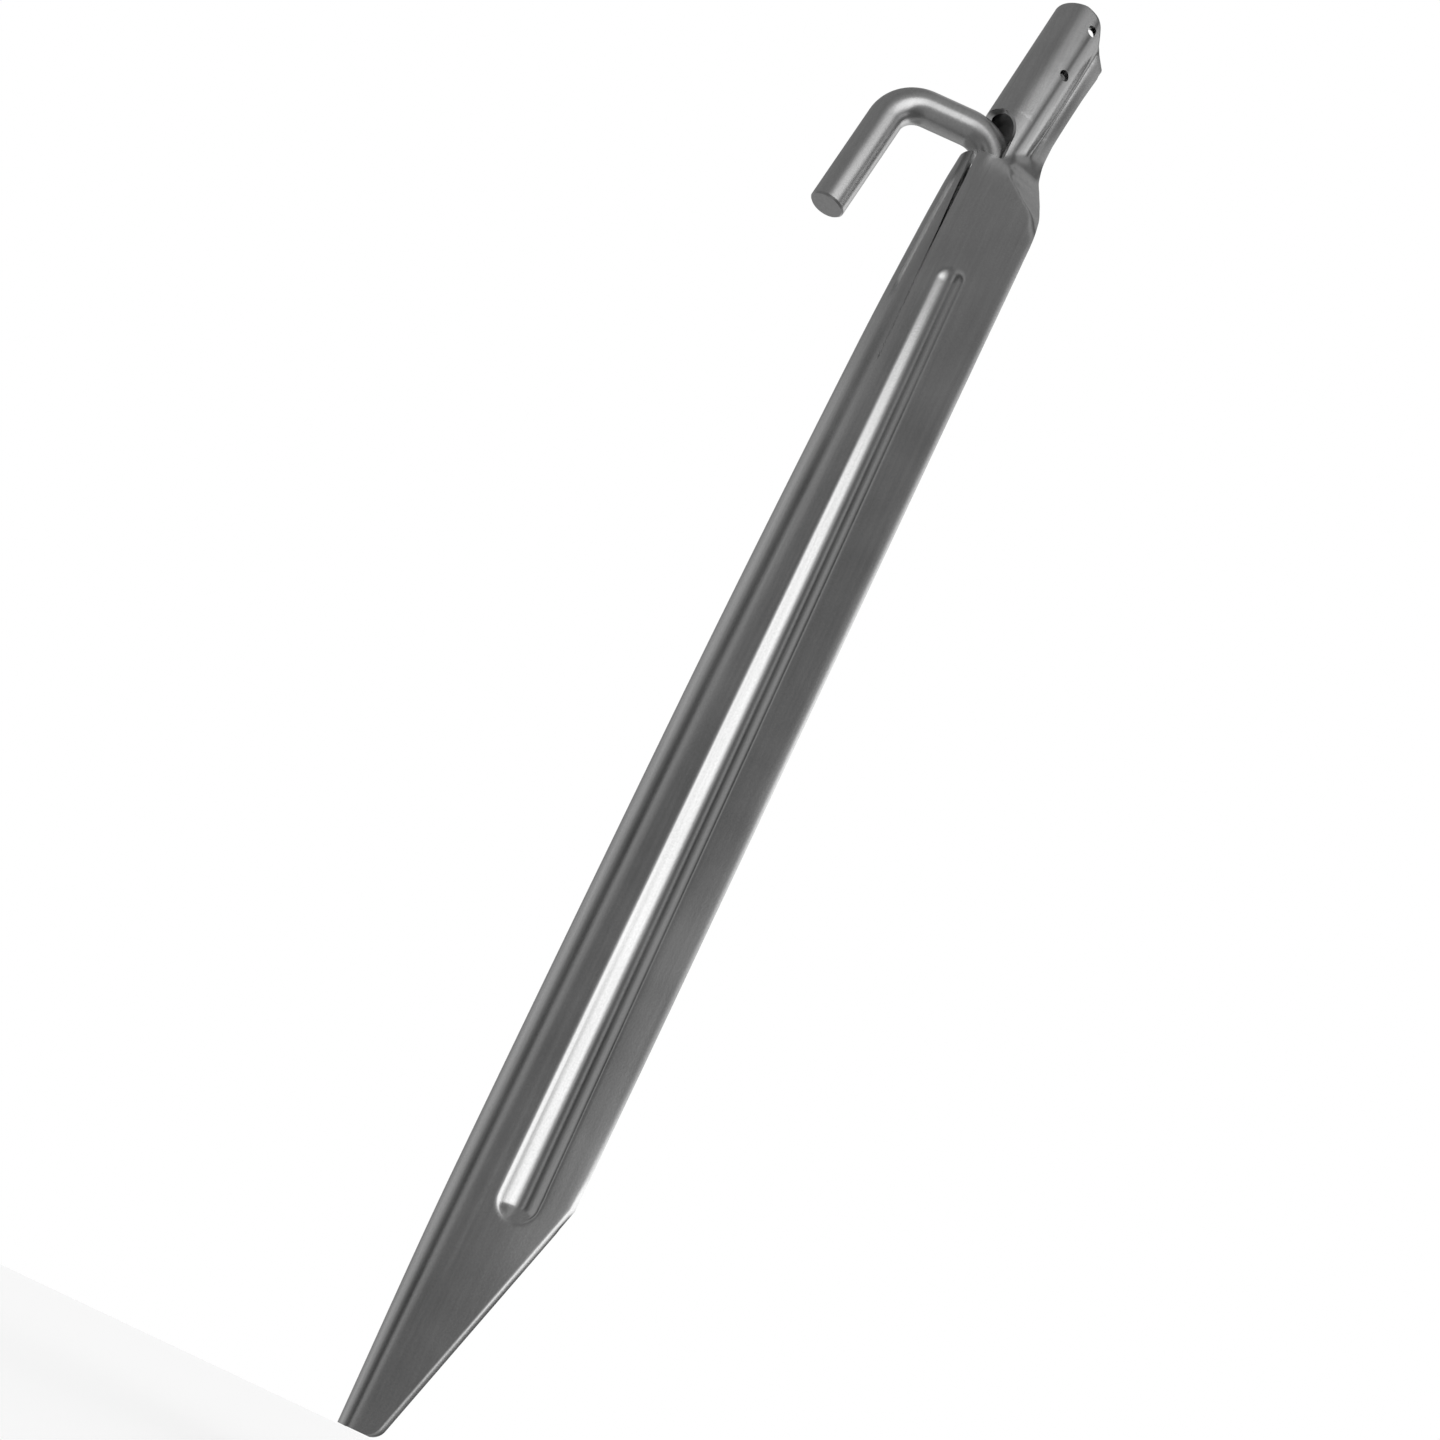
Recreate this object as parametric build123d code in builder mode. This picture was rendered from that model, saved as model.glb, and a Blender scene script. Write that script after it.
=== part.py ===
"""Pressed sheet-steel tent stake with a loose U-shaped wire hook.

Millimetres, +Z up. The stake stands on its tip: the origin is the bottom of the
tip on the plane of symmetry, the closed spine faces -X and the open side +X.
"""
import os
from math import cos, radians, sin, tan

from build123d import *

# ---- driving dimensions -------------------------------------------------
SHEET = 1.5                 # thickness of the pressed sheet
RIM_WIDTH = 1.2             # the flanks turn in slightly along their free edges
RIM_TURN_IN = 0.12
TIP_EDGE_X = 8.1            # what is left of the flanks at the very tip
TIP_CORNER = 2.0
TAPER_HEIGHT = 50.5         # where the oblique cuts of the tip leave the free edges

HEAD_TOP = 335.4            # top of the head tube
HEAD_BOTTOM = 297.9         # where the head tube meets the shoulder
HEAD_LEAN = 6.8             # degrees that the head leans back, away from the hook
TUBE_R = 6.5                # outer radius of the head tube
HEAD_NOSE_X = 4.4           # front of the head tube at HEAD_BOTTOM
FLANGE_REACH = 10.0         # from the tube's axis to the flanges' outer edge
FLANGE_GAP = 0.2            # between the two flanges
CLOSING_ANGLE = 62.0        # how steeply the tube's walls close on the flanges

# Sloping top corner of the flanges, X and Z along its outline.
CORNER_START = (15.0, 335.41)
CORNER_BREAK = (19.0, 334.2)
CORNER_EDGE = (24.1, 325.2)
CORNER_END = (25.0, 320.0)
CORNER_BREAK_R, CORNER_EDGE_R = 4.0, 1.5

OPENING_BOTTOM = 290.8      # neck opening, cut across the spine
OPENING_TOP = 303.2
OPENING_X = 12.3            # how far back the neck opening reaches
OPENING_TOP_R, OPENING_BOTTOM_R = 6.0, 1.0

SLIT_X = 6.1                # slits on both sides of the spine tongue
SLIT_BOTTOM = 234.7
SLIT_KNEE = 268.0           # above this height the slits open like a wedge
SLIT_WIDTH = 0.3
SLIT_TOP_WIDTH = 1.2

GROOVE_TOP = (12.6, 257.9)      # centre line of the pressed groove, X and Z
GROOVE_BOTTOM = (12.9, 48.1)
GROOVE_TOP_R, GROOVE_TOP_DEPTH = 3.4, 0.9
GROOVE_BOTTOM_R, GROOVE_BOTTOM_DEPTH = 4.3, 1.8

CORD_HOLE_D = 2.3           # two small cross holes through the head tube
CORD_HOLES = ((18.1, 330.7), (16.6, 317.3))

ROD_R = 4.0                 # hook rod
ROD_BEND = 8.0              # centre-line radius of its bends
ROD_CHAMFER = 0.4
PIVOT = (11.5, 298.6)       # X and Z where the arm meets the inner leg
INNER_LEAN = 5.0            # degrees that the legs lean, nearly as the head does
OUTER_LEAN = 7.0
ARM_LENGTH = 25.2
ARM_DROOP = 2.2             # degrees below horizontal, outwards
OUTER_LEG = 32.3
INNER_LEG = 30.0

# Cross-sections of the channel from the tip up to the slits:
# height, front of the spine, outer radius of the spine, half-angle of the flanks, X of the free edge.
BODY_SECTIONS = (
    (0.0, 0.4, 3.2, 13.6, 22.4),
    (50.5, -0.45, 5.2, 11.9, 22.8),
    (145.0, -0.2, 5.8, 14.6, 23.8),
    (238.0, 1.1, 6.2, 17.8, 24.6),
    (272.0, 2.3, 6.2, 19.5, 24.9),
)
# Shoulder: height, front, radius and angle as above, the knee's X, then X and half-width of the free edge.
SHOULDER_SECTIONS = (
    (278.0, 2.6, 6.3, 19.0, 22.6, 24.7, 10.2),
    (284.0, 2.95, 6.4, 15.0, 17.9, 23.9, 6.2),
    (289.0, 3.4, 6.45, 3.0, 14.9, 22.7, 3.4),
    (293.0, 3.8, 6.5, -30.0, 15.6, 21.5, 2.0),
)
BIG = 60.0                  # cutters reach this far past the stake


def outer_edge_y(nose_x, radius, half_angle, at_x):
    """Half-width of a straight flank's outer face at at_x."""
    slope = radians(half_angle)
    start_x = nose_x + radius - radius * sin(slope)
    return radius * cos(slope) + (at_x - start_x) * tan(slope)


def section_points(nose_x, radius, half_angle, knee_x, edge_x, edge_y, depth=SHEET):
    """Tangent, knee and free-edge points of the -Y flank, outside and at a depth inside."""
    slope = radians(half_angle)
    along = Vector(cos(slope), -sin(slope))
    inward = Vector(sin(slope), cos(slope))
    tangent = Vector(nose_x + radius, 0) - inward * radius
    knee = tangent + along * ((knee_x - tangent.X) / along.X)
    edge = Vector(edge_x, -edge_y)
    rim = (edge - knee).normalized()
    rim_inward = Vector(-rim.Y, rim.X)
    inner_tangent = tangent + inward * depth
    bisector = (inward + rim_inward).normalized()
    inner_knee = knee + bisector * (depth / bisector.dot(inward))
    inner_edge = edge + rim_inward * depth
    return (tangent, knee, edge), (inner_tangent, inner_knee, inner_edge)


def body_section(nose_x, radius, half_angle, edge_x):
    """Section of the channel, in the order that section_outline takes."""
    edge_y = outer_edge_y(nose_x, radius, half_angle, edge_x) - RIM_TURN_IN
    return nose_x, radius, half_angle, edge_x - RIM_WIDTH, edge_x, edge_y


def mirrored(point):
    return Vector(point.X, -point.Y)


def section_outline(nose_x, radius, half_angle, knee_x, edge_x, edge_y):
    """Closed outline of the bent sheet, added to the current sketch."""
    outer, inner = section_points(nose_x, radius, half_angle, knee_x, edge_x, edge_y)
    with BuildLine() as outline:
        Polyline(outer[2], outer[1], outer[0])
        ThreePointArc(outer[0], Vector(nose_x, 0), mirrored(outer[0]))
        Polyline(mirrored(outer[0]), mirrored(outer[1]), mirrored(outer[2]))
        Line(mirrored(outer[2]), mirrored(inner[2]))
        Polyline(mirrored(inner[2]), mirrored(inner[1]), mirrored(inner[0]))
        ThreePointArc(mirrored(inner[0]), Vector(nose_x + SHEET, 0), inner[0])
        Polyline(inner[0], inner[1], inner[2])
        Line(inner[2], outer[2])
    make_face(outline.edges())


def head_section(height):
    """Section of the head: a tube that closes on two flanges."""
    nose_x = HEAD_NOSE_X + (height - HEAD_BOTTOM) * tan(radians(HEAD_LEAN))
    axis_x = nose_x + TUBE_R
    flange_y = SHEET + FLANGE_GAP / 2
    closing = radians(CLOSING_ANGLE)
    run = (TUBE_R * cos(closing) - flange_y) / sin(closing)
    knee_x = axis_x + TUBE_R * sin(closing) + run * cos(closing)
    return nose_x, TUBE_R, -CLOSING_ANGLE, knee_x, axis_x + FLANGE_REACH, flange_y


def side_cutter_plane():
    """Plane for profiles drawn in X and Z and cut across the stake along Y."""
    return Plane(origin=(0, 0, 0), x_dir=(1, 0, 0), z_dir=(0, -1, 0))


def groove_axis_point(place, radius, depth):
    """Centre of the groove's round tool beside the -Y flank."""
    x, z = place
    lower = max(s for s in BODY_SECTIONS if s[0] <= z)
    upper = min(s for s in BODY_SECTIONS if s[0] > z)
    mix = (z - lower[0]) / (upper[0] - lower[0])
    nose_x, nose_r, angle = (a + (b - a) * mix for a, b in zip(lower[1:4], upper[1:4]))
    slope = radians(angle)
    surface = Vector(x, -outer_edge_y(nose_x, nose_r, angle, x), z)
    return surface + Vector(-sin(slope), -cos(slope), 0) * (radius - depth)


def round_bar(start, start_r, end, end_r):
    """Tapered round bar with ball ends, added to the current part."""
    direction = end - start
    with BuildSketch(Plane(origin=start, z_dir=direction)) as first:
        Circle(start_r)
    with BuildSketch(Plane(origin=end, z_dir=direction)) as last:
        Circle(end_r)
    loft([first.sketch.face(), last.sketch.face()], ruled=True)
    with Locations(start):
        Sphere(start_r)
    with Locations(end):
        Sphere(end_r)


groove_top = groove_axis_point(GROOVE_TOP, GROOVE_TOP_R, GROOVE_TOP_DEPTH)
groove_bottom = groove_axis_point(GROOVE_BOTTOM, GROOVE_BOTTOM_R, GROOVE_BOTTOM_DEPTH)

# ---- groove tools -------------------------------------------------------
with BuildPart() as groove_cutter:
    round_bar(groove_top, GROOVE_TOP_R, groove_bottom, GROOVE_BOTTOM_R)
    mirror(about=Plane.XZ)

# Everything inside the middle of the sheet, so that the ridges end within the sheet.
with BuildPart() as channel_core:
    for height, nose_x, *rest in BODY_SECTIONS:
        middle = section_points(*body_section(nose_x, *rest), depth=SHEET / 2)[1]
        with BuildSketch(Plane.XY.offset(height)):
            with BuildLine():
                Line(middle[2], middle[0])
                ThreePointArc(middle[0], Vector(nose_x + SHEET / 2, 0), mirrored(middle[0]))
                Line(mirrored(middle[0]), mirrored(middle[2]))
                Line(mirrored(middle[2]), middle[2])
            make_face()
    loft()

with BuildPart() as groove_ridges:
    round_bar(groove_top, GROOVE_TOP_R + SHEET, groove_bottom, GROOVE_BOTTOM_R + SHEET)
    mirror(about=Plane.XZ)
    add(channel_core.part, mode=Mode.INTERSECT)

# ---- the stake: one bent sheet ------------------------------------------
shoulder_foot = BODY_SECTIONS[-1]
upper_stations = [(shoulder_foot[0], body_section(*shoulder_foot[1:]))]
upper_stations += [(station[0], station[1:]) for station in SHOULDER_SECTIONS]
upper_stations += [(height, head_section(height)) for height in (HEAD_BOTTOM, HEAD_TOP)]

with BuildPart() as stake_body:
    for height, *shape in BODY_SECTIONS:
        with BuildSketch(Plane.XY.offset(height)):
            section_outline(*body_section(*shape))
    loft()
    for lower, upper in zip(upper_stations, upper_stations[1:]):
        for height, shape in (lower, upper):
            with BuildSketch(Plane.XY.offset(height)):
                section_outline(*shape)
        loft(ruled=True)

    # pressed grooves: a ridge inside, then the hollow outside
    add(groove_ridges.part)
    add(groove_cutter.part, mode=Mode.SUBTRACT)

    # oblique cuts of the tip
    taper_x = next(edge_x for height, *_, edge_x in BODY_SECTIONS if height == TAPER_HEIGHT)
    with BuildSketch(side_cutter_plane()):
        with BuildLine():
            FilletPolyline((taper_x, TAPER_HEIGHT), (TIP_EDGE_X, 0), (-BIG, 0), radius=TIP_CORNER)
            Polyline((-BIG, 0), (-BIG, -BIG), (BIG, -BIG), (BIG, TAPER_HEIGHT), (taper_x, TAPER_HEIGHT))
        make_face()
    extrude(amount=BIG, both=True, mode=Mode.SUBTRACT)

    # neck opening
    with BuildSketch(side_cutter_plane()):
        with BuildLine():
            FilletPolyline(
                (-BIG, OPENING_TOP),
                (OPENING_X, OPENING_TOP),
                (OPENING_X, OPENING_BOTTOM),
                (-BIG, OPENING_BOTTOM),
                radius=(OPENING_TOP_R, OPENING_BOTTOM_R),
            )
            Line((-BIG, OPENING_BOTTOM), (-BIG, OPENING_TOP))
        make_face()
    extrude(amount=BIG, both=True, mode=Mode.SUBTRACT)

    # slits beside the spine tongue
    with BuildSketch(side_cutter_plane()):
        with BuildLine():
            Polyline(
                (SLIT_X - SLIT_WIDTH / 2, SLIT_BOTTOM),
                (SLIT_X - SLIT_WIDTH / 2, SLIT_KNEE),
                (SLIT_X - SLIT_TOP_WIDTH / 2, OPENING_BOTTOM + 1),
                (SLIT_X + SLIT_TOP_WIDTH / 2, OPENING_BOTTOM + 1),
                (SLIT_X + SLIT_WIDTH / 2, SLIT_KNEE),
                (SLIT_X + SLIT_WIDTH / 2, SLIT_BOTTOM),
                close=True,
            )
        make_face()
    extrude(amount=BIG, both=True, mode=Mode.SUBTRACT)

    # sloping top corner of the flanges
    with BuildSketch(side_cutter_plane()):
        with BuildLine():
            FilletPolyline(
                CORNER_START,
                CORNER_BREAK,
                CORNER_EDGE,
                CORNER_END,
                radius=(CORNER_BREAK_R, CORNER_EDGE_R),
            )
            Polyline(
                CORNER_END, (BIG, CORNER_END[1]), (BIG, HEAD_TOP + SHEET),
                (CORNER_START[0], HEAD_TOP + SHEET), CORNER_START,
            )
        make_face()
    extrude(amount=BIG, both=True, mode=Mode.SUBTRACT)

    # small cross holes in the head
    with BuildSketch(side_cutter_plane()):
        with Locations(*CORD_HOLES):
            Circle(CORD_HOLE_D / 2)
    extrude(amount=BIG, both=True, mode=Mode.SUBTRACT)

# ---- the hook: one bent rod ---------------------------------------------
def up_leaning(degrees):
    """Unit vector upwards, leaning back by so many degrees."""
    return Vector(sin(radians(degrees)), 0, cos(radians(degrees)))


inner_up = up_leaning(INNER_LEAN)
outer_up = up_leaning(OUTER_LEAN)
arm_out = Vector(-cos(radians(ARM_DROOP)), 0, -sin(radians(ARM_DROOP)))
inner_corner = Vector(PIVOT[0], 0, PIVOT[1])
outer_corner = inner_corner + arm_out * ARM_LENGTH
inner_end = inner_corner - inner_up * INNER_LEG
outer_end = outer_corner - outer_up * OUTER_LEG

with BuildPart() as hook:
    with BuildLine() as rod_line:
        FilletPolyline(inner_end, inner_corner, outer_corner, outer_end, radius=ROD_BEND)
    with BuildSketch(Plane(origin=inner_end, z_dir=inner_up)):
        Circle(ROD_R)
    sweep(path=rod_line.wire())
    flat_ends = hook.faces().filter_by(GeomType.PLANE)
    chamfer(flat_ends.edges(), ROD_CHAMFER)

# ---- output -------------------------------------------------------------
os.makedirs("parts", exist_ok=True)
for piece, label in ((stake_body, "stake_body"), (hook, "hook")):
    piece.part.label = label
    export_step(piece.part, f"parts/{label}.step")
    box = piece.part.bounding_box()
    print(label, "valid", piece.part.is_valid, "solids", len(piece.part.solids()), "size", box.size)
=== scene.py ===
"""Tent stake: zinc-plated pressed sheet with a bent-rod hook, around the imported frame."""

from math import cos, exp, log, pi, radians, sin, tan, tau

import bmesh
import bpy
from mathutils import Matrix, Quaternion, Vector


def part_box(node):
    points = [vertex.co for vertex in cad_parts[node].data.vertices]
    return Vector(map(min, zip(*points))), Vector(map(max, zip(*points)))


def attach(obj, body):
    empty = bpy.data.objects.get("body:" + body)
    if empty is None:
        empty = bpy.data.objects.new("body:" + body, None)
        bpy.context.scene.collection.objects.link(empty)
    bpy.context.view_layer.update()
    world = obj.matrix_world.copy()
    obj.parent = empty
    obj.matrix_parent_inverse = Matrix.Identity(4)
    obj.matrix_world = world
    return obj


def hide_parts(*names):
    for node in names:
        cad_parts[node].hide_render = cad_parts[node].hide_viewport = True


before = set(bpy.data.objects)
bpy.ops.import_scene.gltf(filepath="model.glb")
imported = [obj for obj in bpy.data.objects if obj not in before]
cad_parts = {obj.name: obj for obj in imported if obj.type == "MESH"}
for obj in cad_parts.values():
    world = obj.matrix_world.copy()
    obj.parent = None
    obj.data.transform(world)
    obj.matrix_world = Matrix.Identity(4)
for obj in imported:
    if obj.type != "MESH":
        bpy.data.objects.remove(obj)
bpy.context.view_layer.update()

# ---- camera and studio, in metres and degrees -----------------------------
AIM_X = 0.00877             # the camera aims a little behind the spine
AIM_SHARE = 0.4497          # of the stake's height
CAMERA_AZIMUTH = -1.868
CAMERA_ELEVATION = -18.36   # the camera is level with the tip and looks up
CAMERA_ROLL = 25.25
CAMERA_DISTANCE = 0.4789
LENS = 60.15                # millimetres
CLIP_START, CLIP_END = 0.01, 200

FLOOR_Z = -0.012            # the stake is held upright, with its tip just clear of the floor
FLOOR_RADIUS = 40.0
FLOOR_SIDES = 96
FLOOR_TONE = 0.985
FLOOR_ROUGHNESS = 0.9

# Brightness of the studio by azimuth: 0 is towards -Y, 90 towards +X. A bright panel stands
# only between PANEL_FOOT and PANEL_TOP degrees of elevation; the softer ring is above and below.
LOW_RING = (
    (-180, 0.20), (-150, 0.17), (-126, 0.24), (-104, 0.30), (-86, 0.22), (-70, 0.08), (-62, 0.035),
    (-55, 0.035), (-49, 0.22), (-42, 0.18), (-35, 0.085), (-24, 0.08), (-12, 0.26), (8, 1.00),
    (38, 0.95), (50, 0.40), (62, 0.06), (76, 0.40), (120, 0.70), (160, 0.40), (180, 0.20),
)
HIGH_RING = (
    (-180, 0.30), (-164, 0.13), (-110, 0.12), (-70, 0.12), (-40, 0.105), (-24, 0.12), (-4, 0.19),
    (14, 0.18), (30, 0.12), (52, 0.09), (60, 0.05), (68, 0.05), (78, 0.18), (120, 0.20),
    (164, 0.15), (180, 0.30),
)
PANEL_FOOT, PANEL_TOP = (-8.0, -13.0), (27.0, 30.0)
STUDIO_GAIN = 1.6
WHITE = 1.0

# ---- the zinc, scales per metre ----------------------------------------------
CLOUD_SCALE, CLOUD_DETAIL = 55.0, 3.0
LINE_SCALE, LINE_STRETCH = 1400.0, 0.03     # drawn lines run along the stake
GRAIN_SCALE, FINE_DETAIL = 2600.0, 2.0
NOISE_LOW, NOISE_HIGH = 1.1, 1.9            # usual span of the three noises added up
TONE_LOW, TONE_HIGH = 0.9, 1.08
CLOUD_LOW, CLOUD_HIGH = 0.3, 0.7
GLOSS_LOW, GLOSS_HIGH = 0.85, 1.2
BUMP_STRENGTH = 0.5
SHEET_TONE, SHEET_ROUGHNESS, SHEET_GRAIN = 0.62, 0.2, 0.000012
ROD_TONE, ROD_ROUGHNESS, ROD_GRAIN = 0.58, 0.28, 0.00002


def linked(tree, node_type, *inputs, **settings):
    """A new node: settings are its properties, inputs are (socket, link or value) pairs."""
    node = tree.nodes.new(node_type)
    for name, value in settings.items():
        setattr(node, name, value)
    for socket, value in inputs:
        if isinstance(value, bpy.types.NodeSocket):
            tree.links.new(value, node.inputs[socket])
        else:
            node.inputs[socket].default_value = value
    return node


def studio_world():
    """A soft studio: metal reflects bright and dark fields, and everything else sees plain white."""
    world = bpy.data.worlds.new("studio")
    bpy.context.scene.world = world
    world.use_nodes = True
    tree = world.node_tree
    tree.nodes.clear()
    direction = linked(tree, "ShaderNodeTexCoord").outputs["Generated"]
    parts = linked(tree, "ShaderNodeSeparateXYZ", (0, direction))
    towards = linked(tree, "ShaderNodeMath", (0, parts.outputs["Y"]), (1, -1.0), operation="MULTIPLY")
    angle = linked(
        tree, "ShaderNodeMath", (0, parts.outputs["X"]), (1, towards.outputs[0]), operation="ARCTAN2"
    )
    share = linked(
        tree, "ShaderNodeMath", (0, angle.outputs[0]), (1, 1 / tau), (2, 0.5), operation="MULTIPLY_ADD"
    )
    rings = []
    for levels in (LOW_RING, HIGH_RING):
        ring = linked(tree, "ShaderNodeValToRGB", (0, share.outputs[0]))
        ramp = ring.color_ramp
        ramp.interpolation = "EASE"
        while len(ramp.elements) < len(levels):
            ramp.elements.new(1.0)
        for element, (azimuth, level) in zip(ramp.elements, levels):
            element.position = azimuth / 360 + 0.5
            element.color = (level, level, level, 1)
        light = linked(tree, "ShaderNodeBackground", ("Color", ring.outputs[0]), ("Strength", STUDIO_GAIN))
        rings.append(light)
    beyond = [
        linked(
            tree, "ShaderNodeMapRange", ("Value", parts.outputs["Z"]),
            ("From Min", sin(radians(near))), ("From Max", sin(radians(far))),
            interpolation_type="SMOOTHSTEP",
        )
        for near, far in (PANEL_FOOT, PANEL_TOP)
    ]
    off_panel = linked(
        tree, "ShaderNodeMath",
        (0, beyond[0].outputs["Result"]), (1, beyond[1].outputs["Result"]), operation="MAXIMUM",
    )
    glossy = linked(
        tree, "ShaderNodeMixShader",
        (0, off_panel.outputs[0]), (1, rings[0].outputs[0]), (2, rings[1].outputs[0]),
    )
    plain = linked(tree, "ShaderNodeBackground", ("Color", (1, 1, 1, 1)), ("Strength", WHITE))
    path = linked(tree, "ShaderNodeLightPath")
    mix = linked(
        tree, "ShaderNodeMixShader",
        (0, path.outputs["Is Glossy Ray"]), (1, plain.outputs[0]), (2, glossy.outputs[0]),
    )
    linked(tree, "ShaderNodeOutputWorld", ("Surface", mix.outputs[0]))


def floor():
    """A pale floor that lights the stake but isn't mirrored in it."""
    bpy.ops.mesh.primitive_circle_add(
        vertices=FLOOR_SIDES, radius=FLOOR_RADIUS, fill_type="NGON", location=(0, 0, FLOOR_Z)
    )
    disc = bpy.context.object
    disc.name = "floor"
    paint = bpy.data.materials.new("floor_paint")
    paint.use_nodes = True
    shader = paint.node_tree.nodes["Principled BSDF"]
    shader.inputs["Base Color"].default_value = (FLOOR_TONE, FLOOR_TONE, FLOOR_TONE, 1)
    shader.inputs["Roughness"].default_value = FLOOR_ROUGHNESS
    disc.data.materials.append(paint)
    disc.visible_glossy = False


def camera():
    """The camera, aimed at a share of the stake's height and rolled about its own line of sight."""
    azimuth, elevation = radians(CAMERA_AZIMUTH), radians(CAMERA_ELEVATION)
    back = Vector(
        (sin(azimuth) * cos(elevation), -cos(azimuth) * cos(elevation), sin(elevation))
    )
    low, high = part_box("stake_body")
    aim = Vector((AIM_X, 0, low.z + AIM_SHARE * (high.z - low.z)))
    data = bpy.data.cameras.new("camera")
    data.lens = LENS
    data.clip_start, data.clip_end = CLIP_START, CLIP_END
    rig = bpy.data.objects.new("camera", data)
    bpy.context.scene.collection.objects.link(rig)
    rig.rotation_mode = "QUATERNION"
    rig.rotation_quaternion = back.to_track_quat("Z", "Y") @ Quaternion((0, 0, 1), radians(CAMERA_ROLL))
    rig.location = aim + back * CAMERA_DISTANCE
    bpy.context.scene.camera = rig


def zinc(name, tone, roughness, grain_depth):
    """Bright zinc plating: soft clouds of tone and gloss, drawn lines along the part and fine grain."""
    material = bpy.data.materials.new(name)
    material.use_nodes = True
    tree = material.node_tree
    shader = tree.nodes["Principled BSDF"]
    place = linked(tree, "ShaderNodeTexCoord").outputs["Object"]
    clouds = linked(
        tree, "ShaderNodeTexNoise", ("Vector", place), ("Scale", CLOUD_SCALE), ("Detail", CLOUD_DETAIL)
    )
    stretched = linked(tree, "ShaderNodeMapping", ("Vector", place), ("Scale", (1, 1, LINE_STRETCH)))
    lines = linked(
        tree, "ShaderNodeTexNoise",
        ("Vector", stretched.outputs[0]), ("Scale", LINE_SCALE), ("Detail", FINE_DETAIL),
    )
    grain = linked(
        tree, "ShaderNodeTexNoise", ("Vector", place), ("Scale", GRAIN_SCALE), ("Detail", FINE_DETAIL)
    )
    blend = linked(tree, "ShaderNodeMath", (0, clouds.outputs[0]), (1, lines.outputs[0]), operation="ADD")
    blend = linked(tree, "ShaderNodeMath", (0, blend.outputs[0]), (1, grain.outputs[0]), operation="ADD")
    colour = linked(
        tree, "ShaderNodeMapRange",
        ("Value", blend.outputs[0]), ("From Min", NOISE_LOW), ("From Max", NOISE_HIGH),
        ("To Min", tone * TONE_LOW), ("To Max", tone * TONE_HIGH),
    )
    gloss = linked(
        tree, "ShaderNodeMapRange",
        ("Value", clouds.outputs[0]), ("From Min", CLOUD_LOW), ("From Max", CLOUD_HIGH),
        ("To Min", roughness * GLOSS_LOW), ("To Max", roughness * GLOSS_HIGH),
    )
    bump = linked(
        tree, "ShaderNodeBump",
        ("Height", grain.outputs[0]), ("Distance", grain_depth), ("Strength", BUMP_STRENGTH),
    )
    tree.links.new(colour.outputs[0], shader.inputs["Base Color"])
    tree.links.new(gloss.outputs[0], shader.inputs["Roughness"])
    tree.links.new(bump.outputs[0], shader.inputs["Normal"])
    shader.inputs["Metallic"].default_value = 1.0
    return material


def dress(obj, material):
    """The material on a piece."""
    obj.data.materials.clear()
    obj.data.materials.append(material)


# ---- the pressed sheet, in millimetres --------------------------------------
SHEET = 1.5
SLIT_X, SLIT_BOTTOM, SLIT_KNEE = 6.1, 234.7, 268.0
SLIT_WIDTH, SLIT_TOP_WIDTH = 0.3, 1.2
OPENING_BOTTOM, OPENING_TOP, OPENING_X = 290.8, 303.2, 12.3
OPENING_TOP_R, OPENING_BOTTOM_R = 6.0, 1.0
TAPER_HEIGHT, TAPER_X = 50.5, 22.8      # where the tip's oblique cut leaves the free edge
TIP_EDGE_X, TIP_CORNER = 8.1, 2.0
HEAD_TOP = 335.4
CORNER_LINE = ((24.1, 325.2), (19.0, 334.2), (15.0, HEAD_TOP))     # sloping corner of the flanges
CORNER_R = 4.0
GROOVE_FOOT, GROOVE_HEAD = Vector((12.9, 48.1)), Vector((12.6, 257.9))
GROOVE_FOOT_HALF, GROOVE_HEAD_HALF = 3.7, 2.5
GROOVE_FOOT_DEPTH, GROOVE_HEAD_DEPTH = 1.75, 0.85
GROOVE_REACH = 2.0          # beyond this many half-widths from its middle the flank is untouched
GROOVE_SOFTNESS = 0.10      # how gradually its walls leave the flank, twice that at the head
FLANK_CROWN = 0.10          # how far the flanks bow out between spine and free edge
CROWNED_FLANK = 15.0        # flanks shorter than this bow out less
KNEE_SOFTNESS = 0.7         # bends are rounded over this much of the profile on either side
EDGE_ROLL = 1.1             # sheared edges are rolled over this far in
TIP_ROLL_DEPTH, EDGE_ROLL_DEPTH = 0.50, 0.09
ROLL_FADE = 5.0             # the tip's roll dies out from this far below the cut's top to as far above
RIM_BEVEL, RIM_SEGMENTS, RIM_ANGLE = 0.28, 2, 50    # corners sharper than these degrees are rounded
CORD_HOLE_R, DRILL_LENGTH, DRILL_SIDES = 1.15, 40.0, 40
CORD_HOLES = ((18.1, 330.7), (16.6, 317.3))
TIP_START = 0.05            # leaves room for the inside of the tip above the origin
MM = 0.001

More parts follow.
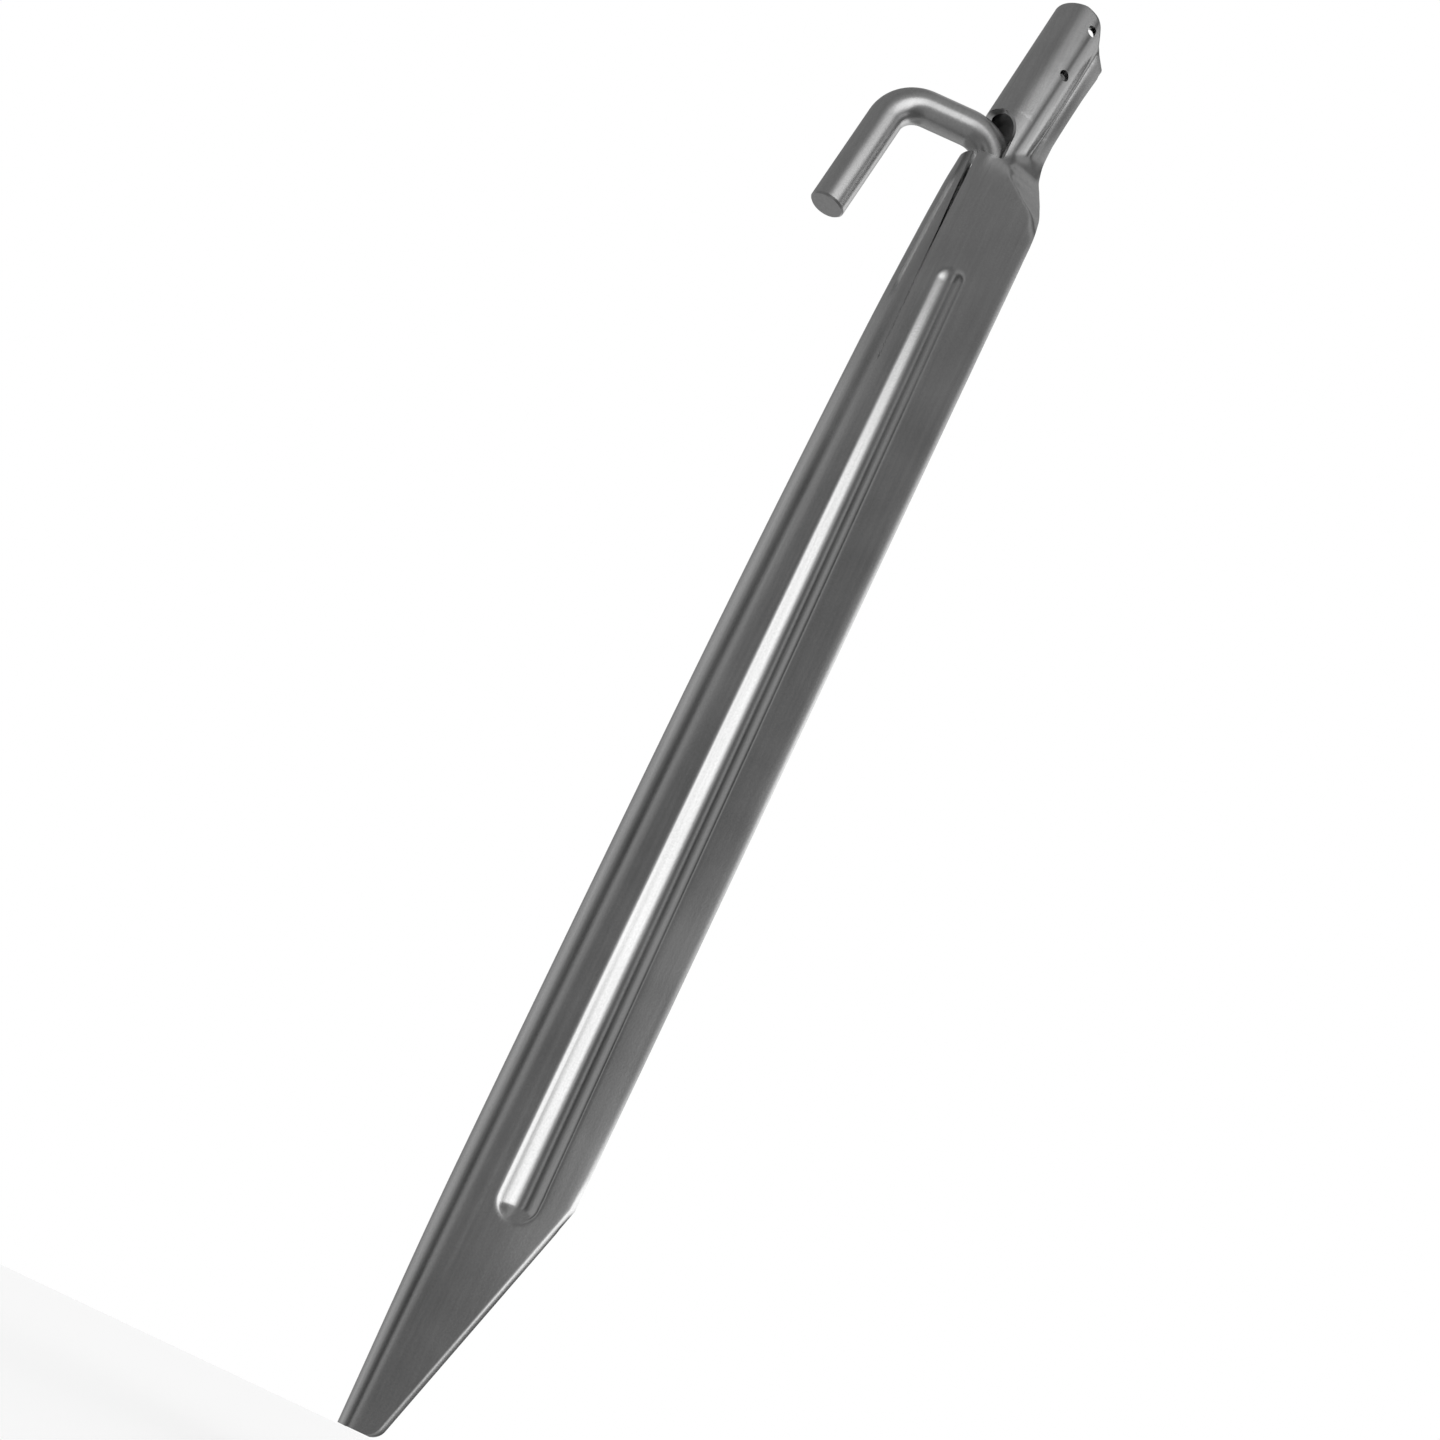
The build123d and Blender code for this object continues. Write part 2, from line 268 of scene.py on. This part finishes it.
# Profiles from tip to head: height, front of the spine, its outer radius, half-angle of the flanks,
# X of the knee, X and half-width of the free edge.
PROFILES = (
    (0.0, 0.4, 3.2, 13.6, 21.2, 22.4, 7.70),
    (TAPER_HEIGHT, -0.45, 5.2, 11.9, 21.6, TAPER_X, 8.97),
    (145.0, -0.2, 5.8, 14.6, 22.6, 23.8, 10.61),
    (238.0, 1.1, 6.2, 17.8, 23.4, 24.6, 11.94),
    (272.0, 2.3, 6.2, 19.5, 23.7, 24.9, 12.26),
    (278.0, 2.6, 6.3, 19.0, 22.6, 24.7, 10.2),
    (284.0, 2.95, 6.4, 15.0, 17.9, 23.9, 6.2),
    (289.0, 3.4, 6.45, 3.0, 14.9, 22.7, 3.4),
    (293.0, 3.8, 6.5, -30.0, 15.6, 21.5, 2.0),
    (297.9, 4.4, 6.5, -62.0, 17.41, 20.9, 1.6),
    (HEAD_TOP, 8.871, 6.5, -62.0, 21.88, 25.37, 1.6),
)
NECK_EASED, NECK_FOOT = 262.0, 290.0    # between these the spine's bend turns into a circle

# ---- the sheet's mesh ------------------------------------------------------------
BEND_STEPS = 40             # short chords that stand for the spine's bend
SPINE_STEPS, SIDE_STEPS, FLANK_STEPS, ROLL_STEPS = 12, 14, 29, 4
NORMAL_REACH = 0.1          # the face's direction is taken over this far either way
STRIP_SHARE = 0.4           # of what is left, for a strip where the sheet is narrow
HEAD_STRIP_SHARE = 0.5
HEAD_STRIP_X = OPENING_X + 1.5
HEAD_STRIP_HEIGHT = 14.0    # the strips widen again over this height above the neck opening
SHORT_ROLL_SHARE = 0.6      # where the roll begins on a strip too short for all of it
NUDGE = 1e-6                # tells just above a height from just below it
SAME_POINT = 1e-6           # metres
WELD = 0.006                # millimetres: points this close are joined, so that no crack is left
# Heights where the spacing of the mesh rows changes, and the spacing above each.
ROW_STOPS = (
    (TIP_START, 0.25), (TIP_CORNER, 1.0), (GROOVE_FOOT.y - 6, 0.5), (GROOVE_FOOT.y, 1.0),
    (TAPER_HEIGHT, 1.3), (SLIT_BOTTOM, 1.1), (GROOVE_HEAD.y - 2, 0.5), (GROOVE_HEAD.y + 4, 1.0),
    (SLIT_KNEE, 0.9), (282.0, 0.45), (OPENING_BOTTOM, 0.2), (OPENING_BOTTOM + OPENING_BOTTOM_R, 0.4),
    (OPENING_TOP - OPENING_TOP_R, 0.35), (OPENING_TOP - 1.5, 0.12), (OPENING_TOP, 0.9),
    (CORNER_LINE[0][1], 0.5), (HEAD_TOP - 2.4, 0.15), (HEAD_TOP, None),
)


def profile_at(height):
    """The profile's six values at a height, without overshoot between the given ones."""
    upper = next(i for i, p in enumerate(PROFILES) if p[0] >= height and i > 0)
    low, high = PROFILES[upper - 1], PROFILES[upper]
    span = high[0] - low[0]
    share = (height - low[0]) / span

    def slope(index, value):
        if index in (0, len(PROFILES) - 1):
            other = 1 if index == 0 else index - 1
            a, b = PROFILES[index], PROFILES[other]
            return (b[value] - a[value]) / (b[0] - a[0])
        before, here, after = PROFILES[index - 1 : index + 2]
        left = (here[value] - before[value]) / (here[0] - before[0])
        right = (after[value] - here[value]) / (after[0] - here[0])
        return 0 if left * right <= 0 else 2 * left * right / (left + right)

    square, cube = share**2, share**3
    values = []
    for value in range(1, len(low)):
        rise_low, rise_high = slope(upper - 1, value) * span, slope(upper, value) * span
        values.append(
            low[value] * (2 * cube - 3 * square + 1)
            + rise_low * (cube - 2 * square + share)
            + high[value] * (3 * square - 2 * cube)
            + rise_high * (cube - square)
        )
    return values


class Profile:
    """Outer outline of half the sheet at one height, followed from the middle of the spine."""

    def __init__(self, height):
        self.nose_x, radius, angle, knee_x, edge_x, edge_y = profile_at(height)
        slope = radians(angle)
        # The spine's bend is a circle in the head and opens out gradually in the channel.
        ease = 1 + min(1.0, max(0.0, (NECK_FOOT - height) / (NECK_FOOT - NECK_EASED)))
        offset = radius * (cos(slope) - (1 - sin(slope)) * tan(slope))
        self.bend = [Vector((0.0, 0.0))]
        for step in range(BEND_STEPS):
            turned = slope + (pi / 2 - slope) * (1 - (step + 0.5) / BEND_STEPS) ** ease
            self.bend.append(self.bend[-1] + Vector((cos(turned), sin(turned))) / BEND_STEPS)
        unit = self.bend[-1]
        self.arc = offset / (unit.y - unit.x * tan(slope))
        self.bend = [Vector((self.nose_x + p.x * self.arc, p.y * self.arc)) for p in self.bend]
        self.tangent = self.bend[-1]
        self.knee = self.tangent + Vector((1, tan(slope))) * (knee_x - self.tangent.x)
        self.flank = (self.knee - self.tangent).length
        self.along = (self.knee - self.tangent).normalized()
        self.rim = (Vector((edge_x, edge_y)) - self.knee).normalized()
        self.edge_x = edge_x

    def raw(self, length):
        """X and half-width so far along the sheet, with the knee left sharp."""
        if length < self.arc:
            place = length / self.arc * BEND_STEPS
            step = min(int(place), BEND_STEPS - 1)
            return self.bend[step].lerp(self.bend[step + 1], place - step)
        if length < self.arc + self.flank:
            return self.tangent + self.along * (length - self.arc)
        return self.knee + self.rim * (length - self.arc - self.flank)

    def point(self, length):
        """X and half-width so far along the sheet, with the knee softened."""
        if length < KNEE_SOFTNESS * 2:
            return self.raw(length)
        near = [self.raw(length + KNEE_SOFTNESS * step / 2) for step in (-2, -1, 0, 1, 2)]
        return sum(near, Vector((0, 0))) / len(near)

    def length_to(self, x):
        """How far along the sheet an X is met."""
        if x < self.tangent.x:
            step = next(i for i in range(BEND_STEPS) if self.bend[i + 1].x >= x)
            low, high = self.bend[step].x, self.bend[step + 1].x
            return self.arc * (step + (x - low) / (high - low)) / BEND_STEPS
        if x < self.knee.x:
            return self.arc + (x - self.tangent.x) / self.along.x
        return self.arc + self.flank + (x - self.knee.x) / self.rim.x


def filleted_corner(points, radius):
    """X by height along two straight edges, (X, Z) points, with the corner between them rounded."""
    first, corner, last = (Vector(p) for p in points)
    towards, away = (first - corner).normalized(), (last - corner).normalized()
    reach = radius / tan(towards.angle(away) / 2)
    start, end = corner + towards * reach, corner + away * reach
    centre = corner + (towards + away).normalized() * Vector((reach, radius)).length

    def x_at(height):
        if height <= start.y:
            return first.x + (corner.x - first.x) * (height - first.y) / (corner.y - first.y)
        if height >= end.y:
            return corner.x + (last.x - corner.x) * (height - corner.y) / (last.y - corner.y)
        return centre.x + (radius**2 - (height - centre.y) ** 2) ** 0.5

    return x_at


flange_corner = filleted_corner(CORNER_LINE, CORNER_R)


def last_x(height, profile):
    """X where the sheet ends: its free edge, the tip's oblique cut or the flange's corner."""
    if height < TAPER_HEIGHT:
        x = TIP_EDGE_X + (TAPER_X - TIP_EDGE_X) * height / TAPER_HEIGHT
        below = max(0.0, 1 - height / TIP_CORNER)
        return x - TIP_CORNER * (1 - (1 - below**2) ** 0.5)
    if height > CORNER_LINE[0][1]:
        return min(profile.edge_x, flange_corner(height))
    return profile.edge_x


def slit_half(height):
    """Half the slit's width at a height."""
    if height <= SLIT_BOTTOM:
        return 0.0
    wedge = max(0.0, height - SLIT_KNEE) / (OPENING_BOTTOM - SLIT_KNEE)
    return (SLIT_WIDTH + (SLIT_TOP_WIDTH - SLIT_WIDTH) * wedge) / 2


def breaks(height, profile, end_x):
    """X where the spine's strip ends, and X where the side's strip ends, at a height."""
    if height <= OPENING_BOTTOM:
        spine_x = min(SLIT_X, profile.nose_x + STRIP_SHARE * (end_x - profile.nose_x))
        return spine_x, min(OPENING_X - OPENING_BOTTOM_R, spine_x + STRIP_SHARE * (end_x - spine_x))
    if height < OPENING_BOTTOM + OPENING_BOTTOM_R:
        drop = 1 - (height - OPENING_BOTTOM) / OPENING_BOTTOM_R
        return SLIT_X, OPENING_X - OPENING_BOTTOM_R * (1 - (1 - drop**2) ** 0.5)
    corner = OPENING_TOP - OPENING_TOP_R
    if height <= corner:
        return SLIT_X, OPENING_X
    top_x = OPENING_X - OPENING_TOP_R
    if height < OPENING_TOP:
        rise = (height - corner) / OPENING_TOP_R
        return SLIT_X, top_x + OPENING_TOP_R * (1 - rise**2) ** 0.5
    share = min(1.0, (height - OPENING_TOP) / HEAD_STRIP_HEIGHT)
    side_x = top_x + (HEAD_STRIP_X - top_x) * share * share * (3 - 2 * share)
    return profile.nose_x + HEAD_STRIP_SHARE * (side_x - profile.nose_x), side_x


def groove_depth(x, height):
    """How deep the pressed groove is at a place on the flank, seen from the side."""
    place = Vector((x, height))
    line = GROOVE_HEAD - GROOVE_FOOT
    share = min(1.0, max(0.0, (place - GROOVE_FOOT).dot(line) / line.length_squared))
    half = GROOVE_FOOT_HALF + (GROOVE_HEAD_HALF - GROOVE_FOOT_HALF) * share
    depth = GROOVE_FOOT_DEPTH + (GROOVE_HEAD_DEPTH - GROOVE_FOOT_DEPTH) * share
    apart = (place - GROOVE_FOOT - line * share).length / half
    if apart > GROOVE_REACH:
        return 0.0
    soft = GROOVE_SOFTNESS * (1 + share)
    return depth * soft * log(1 + exp((1 - apart**2) / soft))


def sheet_point(profile, length, height, side, end):
    """A point of the outer face, in metres, on the side of that sign."""
    here = profile.point(length)
    ahead, behind = profile.raw(length + NORMAL_REACH), profile.raw(max(0.0, length - NORMAL_REACH))
    run = (ahead - behind).normalized()
    outward = Vector((-run.y, run.x))
    lift = -groove_depth(here.x, height)
    if profile.arc < length < profile.arc + profile.flank:
        share = (length - profile.arc) / profile.flank
        lift += FLANK_CROWN * 4 * share * (1 - share) * min(1.0, profile.flank / CROWNED_FLANK)
    over = max(0.0, 1 - (end - length) / EDGE_ROLL)
    near_tip = min(1.0, max(0.0, (TAPER_HEIGHT + ROLL_FADE - height) / ROLL_FADE / 2))
    lift -= over**2 * (EDGE_ROLL_DEPTH + (TIP_ROLL_DEPTH - EDGE_ROLL_DEPTH) * near_tip)
    here = here + outward * lift
    return Vector((here.x, side * here.y, height)) * MM


def spread(start, end, steps):
    """Evenly spaced values from start to end, both included."""
    return [start + (end - start) * i / steps for i in range(steps + 1)]


def row_heights():
    """Heights of the mesh rows: closer where the outline turns, and on every break."""
    heights = []
    for (low, step), (high, _) in zip(ROW_STOPS, ROW_STOPS[1:]):
        heights += spread(low, high, max(1, round((high - low) / step)))[:-1]
    return heights + [HEAD_TOP]


def sheet_skin():
    """Outer face of the whole sheet, with its slits, neck opening and cut outline."""
    mesh = bmesh.new()
    known = {}

    def vertex(point):
        key = tuple(round(value / SAME_POINT) for value in point)
        if key not in known:
            known[key] = mesh.verts.new(point)
        return known[key]

    def row(height, side, above):
        """Three strips of points at a height; above tells from which side a break is met."""
        profile = Profile(height)
        end_x = last_x(height, profile)
        probe = height + (NUDGE if above else -NUDGE)
        spine_x, side_x = breaks(probe, profile, end_x)
        half = slit_half(height) if probe < OPENING_BOTTOM else 0.0
        ends = [profile.length_to(x) for x in (spine_x - half, spine_x + half, side_x, end_x)]
        last = ends[3] - ends[2]
        roll = ends[2] + max(last - EDGE_ROLL, SHORT_ROLL_SHARE * last)
        strips = (
            spread(0.0, ends[0], SPINE_STEPS),
            spread(ends[1], ends[2], SIDE_STEPS),
            spread(ends[2], roll, FLANK_STEPS) + spread(roll, ends[3], ROLL_STEPS)[1:],
        )
        return [[sheet_point(profile, s, height, side, ends[3]) for s in strip] for strip in strips]

    heights = row_heights()
    for low, high in zip(heights, heights[1:]):
        middle = (low + high) / 2
        open_here = OPENING_BOTTOM < middle < OPENING_TOP
        for side in (-1, 1):
            lower, upper = row(low, side, True), row(high, side, False)
            for strip in range(3):
                if open_here and strip < 2:
                    continue
                under = [vertex(p) for p in lower[strip]]
                over = [vertex(p) for p in upper[strip]]
                for i in range(len(under) - 1):
                    corners = [under[i], under[i + 1], over[i + 1], over[i]]
                    mesh.faces.new(corners if side < 0 else corners[::-1])
    bmesh.ops.remove_doubles(mesh, verts=mesh.verts, dist=WELD * MM)
    data = bpy.data.meshes.new("pressed_sheet")
    mesh.to_mesh(data)
    mesh.free()
    return data


def drill(x, z):
    """A pin of the cord holes' size, across the head."""
    bpy.ops.mesh.primitive_cylinder_add(
        vertices=DRILL_SIDES, radius=CORD_HOLE_R * MM, depth=DRILL_LENGTH * MM,
        location=(x * MM, 0, z * MM), rotation=(pi / 2, 0, 0),
    )
    return bpy.context.object


def pressed_sheet():
    """The bent sheet as one piece: its skin given its thickness, drilled, and its rims rounded."""
    data = sheet_skin()
    piece = bpy.data.objects.new("pressed_sheet", data)
    bpy.context.scene.collection.objects.link(piece)
    data.shade_smooth()
    solid = piece.modifiers.new("thickness", "SOLIDIFY")
    solid.thickness, solid.offset = SHEET * MM, -1.0
    solid.use_even_offset = True
    drills = [drill(x, z) for x, z in CORD_HOLES]
    for tool in drills:
        hole = piece.modifiers.new("cord_hole", "BOOLEAN")
        hole.operation, hole.solver, hole.object = "DIFFERENCE", "MANIFOLD", tool
    depsgraph = bpy.context.evaluated_depsgraph_get()
    depsgraph.update()
    drilled = bpy.data.meshes.new_from_object(piece.evaluated_get(depsgraph))
    piece.modifiers.clear()
    piece.data = drilled
    for tool in drills:
        bpy.data.objects.remove(tool)
    rims = piece.modifiers.new("rims", "BEVEL")
    rims.width, rims.segments = RIM_BEVEL * MM, RIM_SEGMENTS
    rims.limit_method, rims.angle_limit = "ANGLE", radians(RIM_ANGLE)
    rims.harden_normals = True
    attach(piece, "stake")
    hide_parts("stake_body")
    return piece


bpy.context.scene.view_settings.view_transform = "Standard"
camera()
studio_world()
floor()

sheet_zinc = zinc("sheet_zinc", SHEET_TONE, SHEET_ROUGHNESS, SHEET_GRAIN)
rod_zinc = zinc("rod_zinc", ROD_TONE, ROD_ROUGHNESS, ROD_GRAIN)
dress(pressed_sheet(), sheet_zinc)
dress(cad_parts["hook"], rod_zinc)
